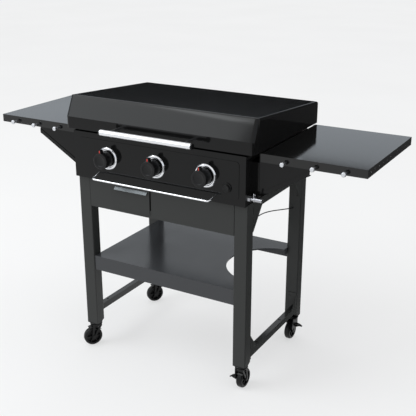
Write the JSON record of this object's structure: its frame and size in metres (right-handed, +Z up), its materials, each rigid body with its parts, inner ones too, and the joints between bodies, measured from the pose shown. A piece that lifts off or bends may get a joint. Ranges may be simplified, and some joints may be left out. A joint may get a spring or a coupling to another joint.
{
  "type": "outdoor gas griddle station",
  "caption": "Freestanding outdoor gas griddle with a hinged lid, control knobs, side shelves, a lower shelf with a tank notch, a grease drawer and casters.",
  "frame": {"origin": "on the floor, under the middle of the station box", "axes": "+X to the right along the shelves as the cook sees it, -Y towards the cook, +Z up"},
  "size_m": [1.512, 0.596, 1.0278],
  "materials": {
    "cart_paint": "satin dark grey powder coat",
    "shelf_paint": "satin grey powder coat",
    "wire_paint": "satin black coating",
    "black_enamel": "glossy black enamel",
    "plate_steel": "bare rolled steel, oiled",
    "plain_steel": "mill finish",
    "inlet_steel": "plated",
    "chrome": "polished",
    "ceramic": "glazed",
    "brass": "machined",
    "knob_plastic": "matt black moulding",
    "caster_black": "semi-gloss black",
    "wheel_plastic": "moulded"
  },
  "bodies": {
    "stand": {"leg_front_left": "cart_paint", "leg_front_right": "cart_paint", "leg_rear_left": "cart_paint", "leg_rear_right": "cart_paint", "front_apron": "cart_paint", "rear_apron": "cart_paint", "side_rail_left": "cart_paint", "side_rail_right": "cart_paint", "lower_bar_left": "cart_paint", "lower_bar_right": "cart_paint", "lower_shelf": "shelf_paint", "tank_wire": "wire_paint", "caster_sockets": "caster_black", "firebox": "black_enamel", "griddle_plate": "plate_steel", "grease_chute": "plain_steel", "burners": "plain_steel", "electrodes": "ceramic", "valve_box": "black_enamel", "control_panel": "black_enamel", "manifold": "plain_steel", "valve_bodies": "brass", "knob_bezels": "chrome", "igniter_body": "knob_plastic", "gas_inlet": "inlet_steel", "front_rail": "chrome", "shelf_top_left": "black_enamel", "shelf_top_right": "black_enamel", "shelf_brackets_left": "black_enamel", "shelf_brackets_right": "black_enamel", "shelf_hooks": "chrome", "drawer_runners": "plain_steel", "hinge_brackets": "black_enamel"},
    "lid": {"lid_shell": "black_enamel", "lid_hinge_leaves": "plain_steel", "handle_bar": "chrome", "handle_posts": "chrome", "handle_caps": "knob_plastic"},
    "drawer": {"drawer_tray": "plain_steel", "drawer_front": "cart_paint"},
    "igniter_button": {"igniter_button": "knob_plastic"},
    "plug_left": {"valve_plug_left": "brass"},
    "knob_left": {"knob_left": "knob_plastic", "valve_stem_left": "plain_steel"},
    "plug_middle": {"valve_plug_middle": "brass"},
    "knob_middle": {"knob_middle": "knob_plastic", "valve_stem_middle": "plain_steel"},
    "plug_right": {"valve_plug_right": "brass"},
    "knob_right": {"knob_right": "knob_plastic", "valve_stem_right": "plain_steel"},
    "caster_front_left": {"caster_yoke_front_left": "caster_black"},
    "wheel_front_left": {"caster_wheel_front_left": "wheel_plastic"},
    "caster_rear_left": {"caster_yoke_rear_left": "caster_black"},
    "wheel_rear_left": {"caster_wheel_rear_left": "wheel_plastic"},
    "caster_front_right": {"caster_yoke_front_right": "caster_black"},
    "wheel_front_right": {"caster_wheel_front_right": "wheel_plastic"},
    "brake_front": {"brake_lever_front": "caster_black"},
    "caster_rear_right": {"caster_yoke_rear_right": "caster_black"},
    "wheel_rear_right": {"caster_wheel_rear_right": "wheel_plastic"},
    "brake_rear": {"brake_lever_rear": "caster_black"}
  },
  "joints": [
    {"name": "lid_hinge", "type": "hinge", "parent": "stand", "child": "lid", "pos_m": [0, 0.291, 0.903], "axis": [-1, 0, 0], "range_deg": [0, 90]},
    {"name": "drawer_slide", "type": "slide", "parent": "stand", "child": "drawer", "axis": [0, -1, 0], "range_m": [0, 0.2]},
    {"name": "igniter_push", "type": "slide", "parent": "stand", "child": "igniter_button", "axis": [0, 1, 0], "range_m": [0, 0.004], "stiffness_N_per_m": 900, "springref_m": -0.002},
    {"name": "valve_turn_left", "type": "hinge", "parent": "stand", "child": "plug_left", "pos_m": [-0.206, -0.2123, 0.816], "axis": [0, -1, 0], "range_deg": [0, 180]},
    {"name": "knob_push_left", "type": "slide", "parent": "plug_left", "child": "knob_left", "axis": [0, 1, 0], "range_m": [0, 0.0035], "stiffness_N_per_m": 1500, "springref_m": -0.002},
    {"name": "valve_turn_middle", "type": "hinge", "parent": "stand", "child": "plug_middle", "pos_m": [0, -0.2123, 0.816], "axis": [0, -1, 0], "range_deg": [0, 180]},
    {"name": "knob_push_middle", "type": "slide", "parent": "plug_middle", "child": "knob_middle", "axis": [0, 1, 0], "range_m": [0, 0.0035], "stiffness_N_per_m": 1500, "springref_m": -0.002},
    {"name": "valve_turn_right", "type": "hinge", "parent": "stand", "child": "plug_right", "pos_m": [0.206, -0.2123, 0.816], "axis": [0, -1, 0], "range_deg": [0, 180]},
    {"name": "knob_push_right", "type": "slide", "parent": "plug_right", "child": "knob_right", "axis": [0, 1, 0], "range_m": [0, 0.0035], "stiffness_N_per_m": 1500, "springref_m": -0.002},
    {"name": "caster_swivel_front_left", "type": "hinge", "parent": "stand", "child": "caster_front_left", "pos_m": [-0.334, -0.1885, 0.11], "axis": [0, 0, 1], "continuous": true},
    {"name": "wheel_spin_front_left", "type": "hinge", "parent": "caster_front_left", "child": "wheel_front_left", "pos_m": [-0.34295, -0.20176, 0.0375], "axis": [0.829, -0.5592, 0], "continuous": true},
    {"name": "caster_swivel_rear_left", "type": "hinge", "parent": "stand", "child": "caster_rear_left", "pos_m": [-0.334, 0.2645, 0.11], "axis": [0, 0, 1], "continuous": true},
    {"name": "wheel_spin_rear_left", "type": "hinge", "parent": "caster_rear_left", "child": "wheel_rear_left", "pos_m": [-0.34295, 0.25123, 0.0375], "axis": [0.829, -0.5592, 0], "continuous": true},
    {"name": "caster_swivel_front_right", "type": "hinge", "parent": "stand", "child": "caster_front_right", "pos_m": [0.334, -0.1885, 0.11], "axis": [0, 0, 1], "continuous": true},
    {"name": "wheel_spin_front_right", "type": "hinge", "parent": "caster_front_right", "child": "wheel_front_right", "pos_m": [0.334, -0.1725, 0.0375], "axis": [-1, 0, 0], "continuous": true},
    {"name": "brake_press_front", "type": "hinge", "parent": "caster_front_right", "child": "brake_front", "pos_m": [0.3122, -0.1985, 0.0515], "axis": [0, -1, 0], "range_deg": [0, 20]},
    {"name": "caster_swivel_rear_right", "type": "hinge", "parent": "stand", "child": "caster_rear_right", "pos_m": [0.334, 0.2645, 0.11], "axis": [0, 0, 1], "continuous": true},
    {"name": "wheel_spin_rear_right", "type": "hinge", "parent": "caster_rear_right", "child": "wheel_rear_right", "pos_m": [0.334, 0.2485, 0.0375], "axis": [1, 0, 0], "continuous": true},
    {"name": "brake_press_rear", "type": "hinge", "parent": "caster_rear_right", "child": "brake_rear", "pos_m": [0.3558, 0.2745, 0.0515], "axis": [0, 1, 0], "range_deg": [0, 20]}
  ]
}
